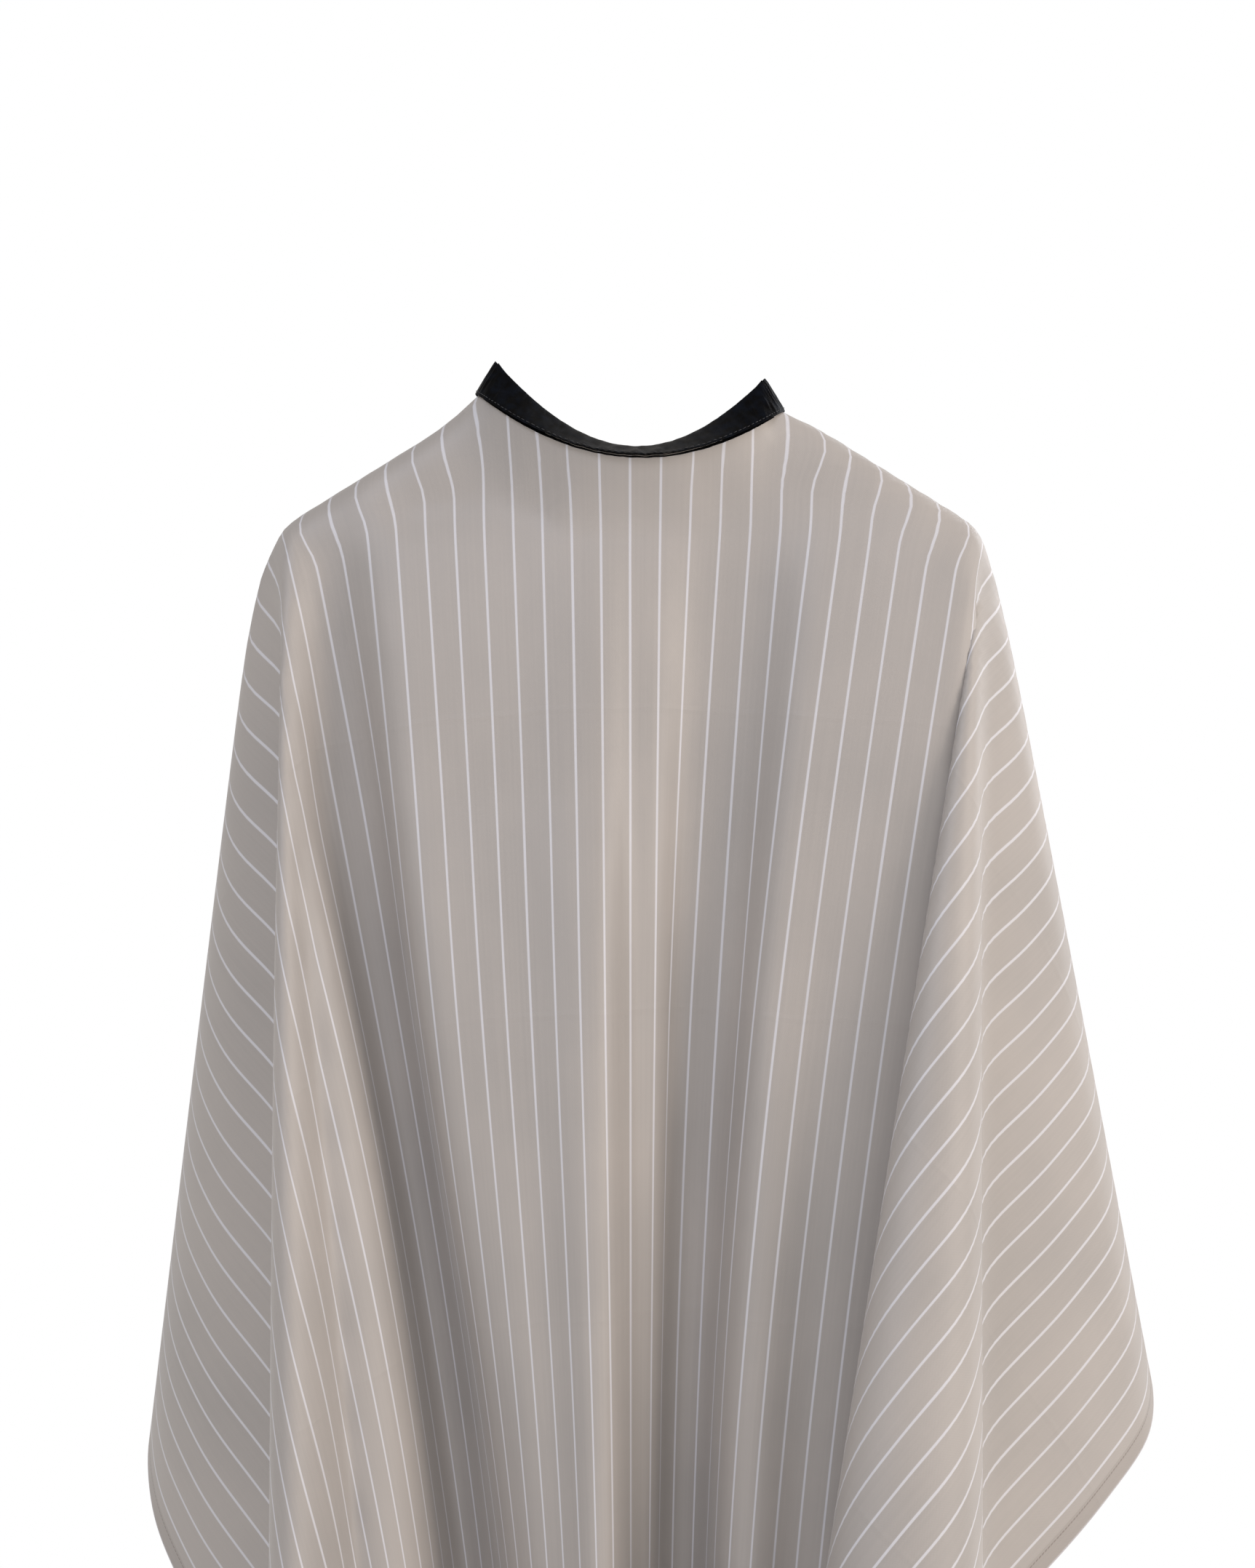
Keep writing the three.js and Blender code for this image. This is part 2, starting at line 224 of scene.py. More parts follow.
def make_cape_cloth():
    """Thin satin-weave polyester: a soft grey-beige sheen with fine pale woven pinstripes."""
    material, tree, shader = new_material("satin_polyester_pinstripe", 0.46, sheen=0.25)
    flat = add_node(tree, "ShaderNodeUVMap", {}, uv_map=FLAT_MAP)
    across = add_node(tree, "ShaderNodeSeparateXYZ", {0: flat}, output=0)
    along = add_node(tree, "ShaderNodeSeparateXYZ", {0: flat}, output=1)
    edge = add_node(tree, "ShaderNodeAttribute", {}, output="Fac", attribute_name=EDGE_ATTRIBUTE)

    # cloth tone: broad, faint clouding, and slubs, the thicker threads that run the length of the cape
    cloud = add_node(tree, "ShaderNodeTexNoise", {0: flat, "Scale": 1 / CLOUD_SIZE, "Detail": 3.0})
    cloudy = add_node(tree, "ShaderNodeMapRange", {0: cloud, 1: 0.35, 2: 0.65})
    tones = {0: cloudy, 6: linear("#a39e9a"), 7: linear("#aca6a1")}
    colour = add_node(tree, "ShaderNodeMix", tones, output=2, data_type="RGBA")
    stretch = (1 / SLUB_WIDTH, 1 / SLUB_LENGTH, 1.0)
    stretched = add_node(tree, "ShaderNodeMapping", {0: flat, "Scale": stretch})
    slubs = add_node(tree, "ShaderNodeTexNoise", {0: stretched, "Scale": 1.0, "Detail": 2.0})
    paler = add_node(tree, "ShaderNodeMath", {0: slubs, 1: 0.16}, operation="MULTIPLY")
    tones = {0: paler, 6: colour, 7: linear("#d2cac3")}
    colour = add_node(tree, "ShaderNodeMix", tones, output=2, data_type="RGBA")

    # pinstripes: one pale warp stripe every pitch, with slightly uneven edges
    uneven = add_node(tree, "ShaderNodeMath", {0: slubs, 1: 0.5}, operation="SUBTRACT")
    wobble = add_node(tree, "ShaderNodeMath", {0: uneven, 1: STRIPE_WOBBLE}, operation="MULTIPLY")
    shifted = add_node(tree, "ShaderNodeMath", {0: across, 1: wobble}, operation="ADD")
    from_stripe = add_node(tree, "ShaderNodeMath", {0: shifted, 1: STRIPE_PITCH / 2}, operation="PINGPONG")
    fade = {0: from_stripe, 1: STRIPE_WIDTH * 0.35, 2: STRIPE_WIDTH * 0.65, 3: 0.8, 4: 0.0}
    stripe = add_node(tree, "ShaderNodeMapRange", fade)
    tones = {0: stripe, 6: colour, 7: linear("#d6d6dc")}
    colour = add_node(tree, "ShaderNodeMix", tones, output=2, data_type="RGBA")

    # hem: painted shade makes the doubled turned edge a little darker, and its seam shows as a line of thread
    hem = add_node(tree, "ShaderNodeMath", {0: edge, 1: HEM_WIDTH}, operation="LESS_THAN")
    hem_shade = add_node(tree, "ShaderNodeMath", {0: hem, 1: 0.22}, operation="MULTIPLY")
    tones = {0: hem_shade, 6: colour, 7: linear("#857b74")}
    colour = add_node(tree, "ShaderNodeMix", tones, output=2, data_type="RGBA")
    seam = HEM_WIDTH - HEM_SEAM_INSET
    past_seam = add_node(tree, "ShaderNodeMath", {0: edge, 1: seam}, operation="SUBTRACT")
    from_seam = add_node(tree, "ShaderNodeMath", {0: past_seam}, operation="ABSOLUTE")
    on_seam = add_node(tree, "ShaderNodeMath", {0: from_seam, 1: HEM_THREAD / 2}, operation="LESS_THAN")
    run = add_node(tree, "ShaderNodeMath", {0: across, 1: along}, operation="ADD")
    from_gap = add_node(tree, "ShaderNodeMath", {0: run, 1: HEM_STITCH / 2}, operation="PINGPONG")
    off_gap = add_node(tree, "ShaderNodeMath", {0: from_gap, 1: HEM_STITCH_GAP / 2}, operation="GREATER_THAN")
    stitch = add_node(tree, "ShaderNodeMath", {0: on_seam, 1: off_gap}, operation="MULTIPLY")
    threaded = add_node(tree, "ShaderNodeMath", {0: stitch, 1: 0.55}, operation="MULTIPLY")
    tones = {0: threaded, 6: colour, 7: linear("#6f665f")}
    colour = add_node(tree, "ShaderNodeMix", tones, output=2, data_type="RGBA")
    tree.links.new(colour, shader.inputs["Base Color"])

    # old fold marks: faint level creases where the cape was folded for the shelf
    drift = add_node(tree, "ShaderNodeTexNoise", {0: flat, "Scale": 1 / WANDER_SIZE, "Detail": 2.0})
    wandering = {0: drift, 1: FOLD_MARK_WANDER, 2: along}
    level = add_node(tree, "ShaderNodeMath", wandering, operation="MULTIPLY_ADD")
    from_mark = add_node(tree, "ShaderNodeMath", {0: level, 1: FOLD_MARK_PITCH / 2}, operation="PINGPONG")
    mark = add_node(tree, "ShaderNodeMapRange", {0: from_mark, 1: 0.0, 2: FOLD_MARK_WIDTH, 3: 1.0, 4: 0.0})

    # the weave is drawn coarser than the real 0.2 mm threads, so that it can show at all
    weave = weave_height(tree, across, along, DRAWN_WEAVE)
    rumple = add_node(tree, "ShaderNodeTexNoise", {0: flat, "Scale": 1 / RUMPLE_SIZE, "Detail": 2.0})
    height = add_node(tree, "ShaderNodeMath", {0: weave, 1: 0.04 * MM}, operation="MULTIPLY")
    for relief, rise in ((stitch, -0.25 * MM), (mark, 0.25 * MM), (hem, 0.4 * MM), (rumple, 0.7 * MM)):
        height = add_node(tree, "ShaderNodeMath", {0: relief, 1: rise, 2: height}, operation="MULTIPLY_ADD")
    bump = add_node(tree, "ShaderNodeBump", {"Height": height, "Strength": 0.5, "Distance": 1.0})
    tree.links.new(bump, shader.inputs["Normal"])
    duller = add_node(tree, "ShaderNodeMath", {0: slubs, 1: 0.14, 2: 0.39}, operation="MULTIPLY_ADD")
    tree.links.new(duller, shader.inputs["Roughness"])
    return material


def make_band_cloth(name, dark, light, roughness, sheen, pitch):
    """Black cloth of the neckband: deep colour, fine weave, and creases with a painted blue-grey sheen."""
    material, tree, shader = new_material(name, roughness, sheen=sheen)
    shader.inputs["Specular IOR Level"].default_value = 0.05
    place = add_node(tree, "ShaderNodeTexCoord", {}, output="Object")
    crinkles_and_sheen = add_node(tree, "ShaderNodeTexNoise", {0: place, "Scale": 1 / (6.25 * MM), "Detail": 4.0})
    # painted sheen: the crinkle noise lightens the colour where the creases would catch the light
    crease_sheen = add_node(tree, "ShaderNodeMapRange", {0: crinkles_and_sheen, 1: 0.4, 2: 0.75})
    tones = {0: crease_sheen, 6: linear(dark), 7: linear(light)}
    colour = add_node(tree, "ShaderNodeMix", tones, output=2, data_type="RGBA")
    tree.links.new(colour, shader.inputs["Base Color"])
    x, y, z = (add_node(tree, "ShaderNodeSeparateXYZ", {0: place}, output=axis) for axis in range(3))
    around = add_node(tree, "ShaderNodeMath", {0: x, 1: y}, operation="ADD")
    weave = weave_height(tree, around, z, pitch)
    threads = add_node(tree, "ShaderNodeMath", {0: weave, 1: 0.05 * MM}, operation="MULTIPLY")
    height = add_node(tree, "ShaderNodeMath", {0: crinkles_and_sheen, 1: 0.35 * MM, 2: threads}, operation="MULTIPLY_ADD")
    bump = add_node(tree, "ShaderNodeBump", {"Height": height, "Strength": 0.6, "Distance": 1.0})
    tree.links.new(bump, shader.inputs["Normal"])
    return material


def make_metal(name, bright, dull, roughness):
    """Pressed metal of the snaps: plated, with fine scratches and duller patches from handling."""
    material, tree, shader = new_material(name, roughness, metallic=1.0)
    place = add_node(tree, "ShaderNodeTexCoord", {}, output="Object")
    patches = add_node(tree, "ShaderNodeTexNoise", {0: place, "Scale": 1 / (3.125 * MM), "Detail": 3.0})
    handled = add_node(tree, "ShaderNodeMapRange", {0: patches, 1: 0.4, 2: 0.7})
    tones = {0: handled, 6: linear(bright), 7: linear(dull)}
    colour = add_node(tree, "ShaderNodeMix", tones, output=2, data_type="RGBA")
    tree.links.new(colour, shader.inputs["Base Color"])
    stretch = (3 / MM, 1 / (5 * MM), 1 / (2.5 * MM))
    stretched = add_node(tree, "ShaderNodeMapping", {0: place, "Scale": stretch})
    scratches = add_node(tree, "ShaderNodeTexNoise", {0: stretched, "Scale": 1.0, "Detail": 2.0})
    rubbed = {0: scratches, 1: 0.22, 2: roughness - 0.08}
    gloss = add_node(tree, "ShaderNodeMath", rubbed, operation="MULTIPLY_ADD")
    tree.links.new(gloss, shader.inputs["Roughness"])
    bump = add_node(tree, "ShaderNodeBump", {"Height": scratches, "Strength": 0.08, "Distance": 0.1 * MM})
    tree.links.new(bump, shader.inputs["Normal"])
    return material


def make_thread():
    """Black polyester sewing thread: twisted plies give a broken, slightly glossy line, with a painted sheen
    on each ply.
    """
    material, tree, shader = new_material("black_sewing_thread", 0.5, sheen=0.3)
    place = add_node(tree, "ShaderNodeTexCoord", {}, output="Object")
    ply_pitch = 0.7 * MM
    plies = {0: place, "Scale": 2 * math.pi / (10 * ply_pitch)}
    # painted sheen: a lighter blue-grey band along each ply of the twist
    ply_sheen = add_node(tree, "ShaderNodeTexWave", plies, output="Fac", bands_direction="DIAGONAL")
    tones = {0: ply_sheen, 6: linear("#0b0c0f"), 7: linear("#2b2d33")}
    colour = add_node(tree, "ShaderNodeMix", tones, output=2, data_type="RGBA")
    tree.links.new(colour, shader.inputs["Base Color"])
    return material


cape_cloth = make_cape_cloth()
# in each band cloth the second colour is the painted sheen on its creases
band_satin = make_band_cloth("black_band_satin", "#020203", "#0a0f18", 0.4, 0.0, 0.7 * MM)
band_plain = make_band_cloth("black_band_lining", "#030303", "#09090a", 0.85, 0.02, 0.8 * MM)
elastic_knit = make_band_cloth("knitted_elastic", "#0a0a0b", "#1c1c20", 0.9, 0.05, 1.4 * MM)
nickel = make_metal("nickel_plated_steel", "#b9bab4", "#8e9089", 0.3)
brass = make_metal("bare_brass", "#c9a861", "#93793f", 0.34)
thread = make_thread()


# ---- flat pattern of the cape -----------------------------------------------------------------------------


def neck_cut_depth(along):
    """Depth of the neck cut-out on this side of the neck line."""
    return np.where(along < 0, NECK_CUT_FRONT, NECK_CUT_BACK)


def beside(marked):
    """The grid points that have a marked point above, below, left or right of them."""
    near = np.zeros_like(marked)
    near[1:] |= marked[:-1]
    near[:-1] |= marked[1:]
    near[:, 1:] |= marked[:, :-1]
    near[:, :-1] |= marked[:, 1:]
    return near


def cut_flat_pattern():
    """A grid of cells cut to the cape's outline: rounded corners, the neck cut-out and the slit behind it."""
    columns = 2 * round(CLOTH_HALF_WIDTH / CELL)
    rows = round((CLOTH_FRONT + CLOTH_BACK) / CELL)
    across, along = np.meshgrid(
        np.linspace(-CLOTH_HALF_WIDTH, CLOTH_HALF_WIDTH, columns + 1),
        np.linspace(-CLOTH_FRONT, CLOTH_BACK, rows + 1), indexing="ij")
    ring = np.sqrt((across / NECK_HALF_WIDTH) ** 2 + (along / neck_cut_depth(along)) ** 2)
    at_neck = (ring >= 1) & beside(ring < 1)
    keep = ring >= 1
    across = np.where(at_neck, across / np.maximum(ring, 0.5), across)
    along = np.where(at_neck, along / np.maximum(ring, 0.5), along)
    for end, edge in ((-1, CLOTH_FRONT), (1, CLOTH_BACK)):
        past_x = np.abs(across) - (CLOTH_HALF_WIDTH - CLOTH_CORNER)
        past_y = end * along - (edge - CLOTH_CORNER)
        reach = np.where((past_x > 0) & (past_y > 0), np.hypot(past_x, past_y), 0)
        removed = reach > CLOTH_CORNER + CELL / 2
        keep &= ~removed
        rounded = (reach > CLOTH_CORNER) | ((reach > 0) & beside(removed))
        pull = np.where(rounded, 1 - CLOTH_CORNER / np.maximum(reach, CELL), 0)
        across = across - np.sign(across) * past_x * pull
        along = along - end * past_y * pull

    index = np.full(across.shape, -1)
    index[keep] = np.arange(keep.sum())
    middle = columns // 2
    slit_rows = [j for j in range(rows + 1) if keep[middle, j] and along[middle, j] > 0]
    twin = {j: int(keep.sum()) + number for number, j in enumerate(slit_rows)}
    kept_points = np.stack([across[keep], along[keep]], 1)
    slit_points = [[0.0, along[middle, j]] for j in slit_rows]
    points = np.vstack([kept_points, slit_points])
    neck = np.concatenate([at_neck[keep], at_neck[middle, slit_rows]])
    side = np.where(points[:, 0] < 0, -1, 1)
    side[index[middle, slit_rows]] = -1

    faces = []
    for i in range(columns):
        for j in range(rows):
            corners = [index[i, j], index[i + 1, j], index[i + 1, j + 1], index[i, j + 1]]
            if i == middle:
                corners[0] = twin.get(j, corners[0])
                corners[3] = twin.get(j + 1, corners[3])
            corners = [int(c) for c in corners if c >= 0]
            if len(corners) >= 3:
                faces.append(corners)
    return points, faces, side, neck


# ---- how the cloth is laid over the hanger ----------------------------------------------------------------

# Each side: slope of the fold over the arm in the cloth, height of the front's fan above the neck, where
# its two soft folds lie, and the pleats round the arm's tip. A pleat knot is the angle round the tip in
# the cloth, from the front edge, in degrees, then how far out and how far back the cloth hangs there,
# per unit of length below the tip.
SIDES = {
    1: {
        "fold_slope": math.radians(25),
        "fan": 2.3,
        "inner_fold": 32 * MM,
        "outer_fold": 108 * MM,
        "knots": [(0, -.06, 0), (3.5, -.015, .035), (7, -.004, .09), (8.3, -.01, .10), (11.8, -.045, .05),
                  (16.2, -.085, -.015), (20.5, -.13, -.075), (24, -.16, -.12), (26.5, -.155, -.16),
                  (30.5, -.10, -.19), (34.5, -.035, -.175), (39, -.008, -.12), (43.5, -.004, -.04),
                  (47, .04, .01), (53, .12, .06), (58.5, .185, .125), (63, .205, .20), (71, .19, .30)],
        "tip_roundness": 6 * MM,
        "back_pleats": 6,
    },
    -1: {
        "fold_slope": math.radians(18),
        "fan": 1.0,
        "inner_fold": 192 * MM,
        "outer_fold": 270 * MM,
        "knots": [(0, -.085, 0), (3.5, -.067, -.055), (7, -.03, -.10), (10, -.006, -.085), (13, -.006, -.045),
                  (16.5, -.045, -.02), (20, -.085, .0), (22.5, -.092, .04), (26, -.05, .08), (31, .02, .13),
                  (35.5, .075, .18), (39.5, .12, .235), (43, .14, .29), (49, .138, .37)],
        "tip_roundness": 13 * MM,
        "back_pleats": 8,
    },
}
BACK_PLEAT_DEPTH = 0.05
BACK_EDGE = (-0.06, 0.20)
FOLD_TURN = math.radians(78)
FULL_FOLD_SPARE = 35 * MM
FOLDED_SHARE = 0.62
MIDDLE_CALM = 30 * MM
NECK_TUCK = 3 * MM
SAMPLES = (np.arange(60) + 0.5) / 60
RIPPLES = ((7 * MM, 21 * MM, 0.4), (3 * MM, 11 * MM, 2.0))


def pleat_path(plan, last):
    """Out and back positions round the tip as smooth functions of the angle in the cloth."""
    knots = [(math.radians(angle), out, back) for angle, out, back in plan["knots"]]
    first, out, back = knots[-1]
    count = 12 * plan["back_pleats"]
    for number in range(1, count + 1):
        share = number / count
        dip = BACK_PLEAT_DEPTH * (1 - math.cos(2 * math.pi * plan["back_pleats"] * share)) * (1 - 0.3 * share)
        knots.append((first + (last - first) * share, out + (BACK_EDGE[0] - out) * share,
                      back + (BACK_EDGE[1] - back) * share - dip))
    knots = np.array(knots)
    slope = np.gradient(knots[:, 1:], knots[:, 0], axis=0)
    angle = np.linspace(0, last, 1500)
    here = np.clip(np.searchsorted(knots[:, 0], angle, side="right") - 1, 0, len(knots) - 2)
    after = here + 1
    span = knots[after, 0] - knots[here, 0]
    w = ((angle - knots[here, 0]) / span)[:, None]
    span = span[:, None]
    path = ((2 * w ** 3 - 3 * w ** 2 + 1) * knots[here, 1:] + (w ** 3 - 2 * w ** 2 + w) * span * slope[here]
            + (3 * w ** 2 - 2 * w ** 3) * knots[after, 1:] + (w ** 3 - w ** 2) * span * slope[after])
    return angle, path[:, 0], path[:, 1]


def soft_step(value):
    """0 up to 0, 1 from 1 on, and an S-curve between them."""
    value = np.clip(value, 0, 1)
    return value * value * (3 - 2 * value)


def walk_folds(distance, turn, width, inner, outer):
    """Walks across the front through its two folds: how far over and how far back one gets."""
    at = distance[:, None] * SAMPLES[None]
    heading = turn[:, None] * (np.exp(-((at - inner[:, None]) / width[:, None]) ** 2)
                               - np.exp(-((at - outer[:, None]) / width[:, None]) ** 2))
    heading = heading * soft_step(at / MIDDLE_CALM)
    return distance * np.cos(heading).mean(1), distance * np.sin(heading).mean(1)


def lay_side(sign, plan, across, along):
    """Places one side of the flat pattern, with across counted outward, over one arm of the hanger."""
    slope = plan["fold_slope"]
    tip_x = NECK_HALF_WIDTH + ARM_LENGTH * math.cos(slope)
    tip_y = -ARM_LENGTH * math.sin(slope)
    lean = ARM_SLOPE - slope
    reach = np.hypot(across - tip_x, along - tip_y)
    turn = np.arctan2(along - tip_y, across - tip_x) - (lean - math.pi / 2)
    last = math.pi - lean
    crest = -(np.clip(across, NECK_HALF_WIDTH, tip_x) - NECK_HALF_WIDTH) * math.tan(slope)
    beyond = (turn >= 0) & (turn <= last) & ((turn < last - math.radians(10)) | (across > tip_x))
    front = ~beyond & (along < crest)
    back = ~beyond & ~front

    # front: a fan from a point above the neck, whose spare width goes into two soft folds
    fan = plan["fan"]
    radius = np.hypot(across, fan - along)
    tip_angle = math.atan2(tip_x, fan - tip_y)
    tip_radius = math.hypot(tip_x, fan - tip_y)
    below = np.maximum(radius - tip_radius, 0)
    walk = radius * np.arctan2(across, fan - along)
    spread = np.arctan2(below * math.sin(max(lean - tip_angle, 0)), tip_radius + below)
    edge_walk = radius * (tip_angle + spread)
    edge_out = SHOULDER_REACH + below * plan["knots"][0][1]
    tip_walk = tip_radius * tip_angle
    spare = FOLDED_SHARE * np.clip(edge_walk - edge_out - (tip_walk - SHOULDER_REACH), 0, None)
    fold_turn = FOLD_TURN * np.sqrt(np.clip(spare / FULL_FOLD_SPARE, 0, 1))
    bell = np.linspace(-3, 3, 121)
    taken = np.trapz(1 - np.cos(fold_turn[:, None] * np.exp(-bell[None] ** 2)), bell, axis=1)
    width = np.clip(spare / np.maximum(2 * taken, 1e-4), 12 * MM, 0.3)
    inner = np.full_like(radius, plan["inner_fold"])
    outer = np.minimum(plan["outer_fold"], edge_walk - width)
    over, behind = walk_folds(walk, fold_turn, width, inner, outer)
    edge_over, edge_behind = walk_folds(edge_walk, fold_turn, width, inner, outer)
    deepest = walk_folds((inner + outer) / 2, fold_turn, width, inner, outer)[1]
    hanging = radius >= tip_radius
    fit = np.where(hanging, edge_out / np.maximum(edge_over, MM), SHOULDER_REACH / tip_walk)
    share = np.clip(walk / np.maximum(edge_walk, MM), 0, 1)
    ripple = sum(depth * np.sin(sign * over / length + phase) for depth, length, phase in RIPPLES)
    ripple *= soft_step(radius - tip_radius + 0.1) * (1 - share ** 4)
    eased = np.where(hanging, edge_behind * share ** 2, 0)
    x = np.where(front, over * fit, 0)
    y = np.where(front, -ARM_RADIUS * 0.9 + behind - deepest - eased + ripple, 0)
    z = np.where(front, fan - radius, 0)

    # beyond the tip: pleats that hang from it, starting at the depth the front's edge has reached
    path_angle, path_out, path_back = pleat_path(plan, last)
    out = np.interp(turn, path_angle, path_out)
    rear = np.interp(turn, path_angle, path_back)
    slant = np.sqrt(1 + out ** 2 + rear ** 2)
    rim = front & hanging & (share > 0.5)
    order = np.argsort(below[rim])
    edge_depth = np.interp(reach, below[rim][order], -deepest[rim][order])
    carried = edge_depth * soft_step(1 - turn / math.radians(60))
    rounded = plan["tip_roundness"] * soft_step(out / 0.08) * (1 - np.exp(-reach / (30 * MM)))
    x = np.where(beyond, SHOULDER_REACH + rounded + reach * out / slant, x)
    y = np.where(beyond, reach * rear / slant - ARM_RADIUS / 2 + carried, y)
    z = np.where(beyond, -SHOULDER_DROP - reach / slant, z)

    # back: hangs straight from the neck and the arm
    at_neck = across < NECK_HALF_WIDTH
    neck_share = 1 - (across / NECK_HALF_WIDTH) ** 2
    top = np.where(at_neck, NECK_CUT_BACK * np.sqrt(np.clip(neck_share, 0, 1)), crest)
    arm_z = -SHOULDER_DROP * (across - NECK_HALF_WIDTH) / (tip_x - NECK_HALF_WIDTH)
    top_z = np.where(at_neck, -BACK_DROOP * neck_share, arm_z)
    drop = np.clip(along - top, 0, None)
    share = np.clip(across / tip_x, 0, 1)
    x = np.where(back, across * (SHOULDER_REACH + drop * BACK_EDGE[0]) / tip_x, x)
    y = np.where(back, ARM_RADIUS + 4 * MM + drop * (0.1 + 0.05 * share ** 2), y)
    z = np.where(back, top_z - drop, z)

    # over the arm itself: the round of the hanger
    along_arm = (tip_x - across) * math.cos(slope) + (along - tip_y) * math.sin(slope)
    off_arm = (across - tip_x) * math.sin(slope) + (along - tip_y) * math.cos(slope)
    round_arm = off_arm / ARM_RADIUS
    on_arm = (along_arm > 0) & (np.abs(round_arm) < math.pi / 2) & (across > 0.9 * NECK_HALF_WIDTH)
    arm_z = -SHOULDER_DROP + along_arm * math.sin(ARM_SLOPE)
    x = np.where(on_arm, SHOULDER_REACH - along_arm * math.cos(ARM_SLOPE), x)
    y = np.where(on_arm, ARM_RADIUS * np.sin(round_arm), y)
    z = np.where(on_arm, arm_z + ARM_RADIUS * (np.cos(round_arm) - 1), z)
    return np.stack([x, y, z], 1), on_arm


def lay_over_hanger(points, side, neck):
    """The whole pattern over both arms, with its neck on the band's line: places and held points."""
    placed = np.zeros((len(points), 3))
    held = neck.copy()
    for sign, plan in SIDES.items():
        chosen = side == sign
        places, on_arm = lay_side(sign, plan, np.abs(points[chosen, 0]), points[chosen, 1])
        places[:, 0] *= sign
        placed[chosen] = places
        held[chosen] |= on_arm
    depth = neck_cut_depth(points[neck, 1])
    angles = np.arctan2(points[neck, 1] / depth, points[neck, 0] / NECK_HALF_WIDTH)
    placed[neck] = [band_point(angle, NECK_TUCK, 0) for angle in angles]
    return placed, held


# ---- settling by cloth simulation -------------------------------------------------------------------------


def edge_distance(points):
    """How far each point of the flat pattern is from the cut edge, the slit included."""
    from_sides = CLOTH_HALF_WIDTH - np.abs(points[:, 0])
    distance = np.minimum.reduce([from_sides, points[:, 1] + CLOTH_FRONT, CLOTH_BACK - points[:, 1]])
    for end, edge in ((-1, CLOTH_FRONT), (1, CLOTH_BACK)):
        past_x = CLOTH_CORNER - from_sides
        past_y = end * points[:, 1] - (edge - CLOTH_CORNER)
        cornered = (past_x > 0) & (past_y > 0)
        distance = np.where(cornered, CLOTH_CORNER - np.hypot(past_x, past_y), distance)
    from_slit = np.where(points[:, 1] > 0, np.abs(points[:, 0]), 1.0)
    return np.minimum(distance, from_slit)


def evaluated_places(piece):
    """Where the modifiers put the piece's points."""
    shown = piece.evaluated_get(bpy.context.evaluated_depsgraph_get())
    mesh = shown.to_mesh()
    places = np.empty(len(mesh.vertices) * 3, np.float32)
    mesh.vertices.foreach_get("co", places)
    shown.to_mesh_clear()
    return places


def settle(piece, placed, held):
    """Lets the laid cloth settle under its weight, its rest shape being the flat pattern."""
    group = piece.vertex_groups.new(name="held")
    group.add([int(i) for i in np.nonzero(held)[0]], 1.0, "REPLACE")
    group.add([int(i) for i in np.nonzero(~held)[0]], LAID_GRIP, "REPLACE")
    rest = piece.shape_key_add(name="flat")
    start = piece.shape_key_add(name="laid")
    start.data.foreach_set("co", placed.astype(np.float32).ravel())
    start.value = 1.0
    cloth = piece.modifiers.new("settling", "CLOTH")
    settings = cloth.settings
    settings.quality = 7
    settings.mass = 0.15
    settings.tension_stiffness = 40
    settings.compression_stiffness = 4
    settings.shear_stiffness = 6
    settings.bending_stiffness = 0.3
    settings.air_damping = 1
    settings.vertex_group_mass = "held"
    settings.rest_shape_key = rest
    cloth.collision_settings.use_collision = False
    scene = bpy.context.scene
    cloth.point_cache.frame_start = 1
    cloth.point_cache.frame_end = SETTLE_FRAMES
    for number in range(1, SETTLE_FRAMES + 1):
        scene.frame_set(number)
    places = evaluated_places(piece)
    piece.modifiers.remove(cloth)
    piece.shape_key_clear()
    scene.frame_set(1)
    return places


def make_cape():
    """The cape's cloth, cut flat, laid over the arms and settled."""
    points, faces, side, neck = cut_flat_pattern()
    placed, held = lay_over_hanger(points, side, neck)
    mesh = bpy.data.meshes.new("cape_cloth")
    mesh.from_pydata([(x, y, 0) for x, y in points], [], faces)
    piece = bpy.data.objects.new("cape_cloth", mesh)
    bpy.context.scene.collection.objects.link(piece)
    flat = mesh.uv_layers.new(name=FLAT_MAP)
    corners = np.empty(len(mesh.loops), int)
    mesh.loops.foreach_get("vertex_index", corners)
    flat.data.foreach_set("uv", points[corners].astype(np.float32).ravel())
    attribute = mesh.attributes.new(EDGE_ATTRIBUTE, "FLOAT", "POINT")
    attribute.data.foreach_set("value", edge_distance(points).astype(np.float32))
    places = settle(piece, placed, held)
    mesh.vertices.foreach_set("co", places)
    mesh.update()
    finish_surface(piece, cape_cloth, 1)
    return piece


def finish_surface(piece, material, levels):
    """Smooth shading, a finer surface and the material."""
    for face in piece.data.polygons:
        face.use_smooth = True
    piece.data.materials.append(material)
    if levels:
        finer = piece.modifiers.new("finer", "SUBSURF")
        finer.levels = levels
        finer.render_levels = levels


cape = make_cape()
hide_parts("cape_panel")
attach(cape, "cape")


# ---- neckband and tongue ----------------------------------------------------------------------------------

BAND_END_GAP = 1.5 * MM
BAND_PUCKER = 1.1 * MM
TONGUE_PUCKER = 0.12 * MM
ELASTIC_MARGIN = 2 * MM
SNAP_DIAMETER = 11.5 * MM
HEAD_DIAMETER = 4.2 * MM
SNAP_PITCH = 20 * MM
SNAP_COUNT = 6
FIRST_STUD = 16 * MM
CLOSED_SNAPS = 2
STUD_BASE = 0.7 * MM
TONGUE_LENGTH = 58 * MM
TONGUE_HEIGHT = 21 * MM
SOCKET_HEIGHT = 2.4 * MM
SOCKET_SEAT = OUTER_FACE + 3 * CLEARANCE + STUD_BASE
TONGUE_INNER = SOCKET_SEAT + SOCKET_HEIGHT + CLEARANCE
TONGUE_OUTER = TONGUE_INNER + 2 * CLOTH + CLEARANCE
SNAP_HEIGHT = BAND_HEIGHT / 2


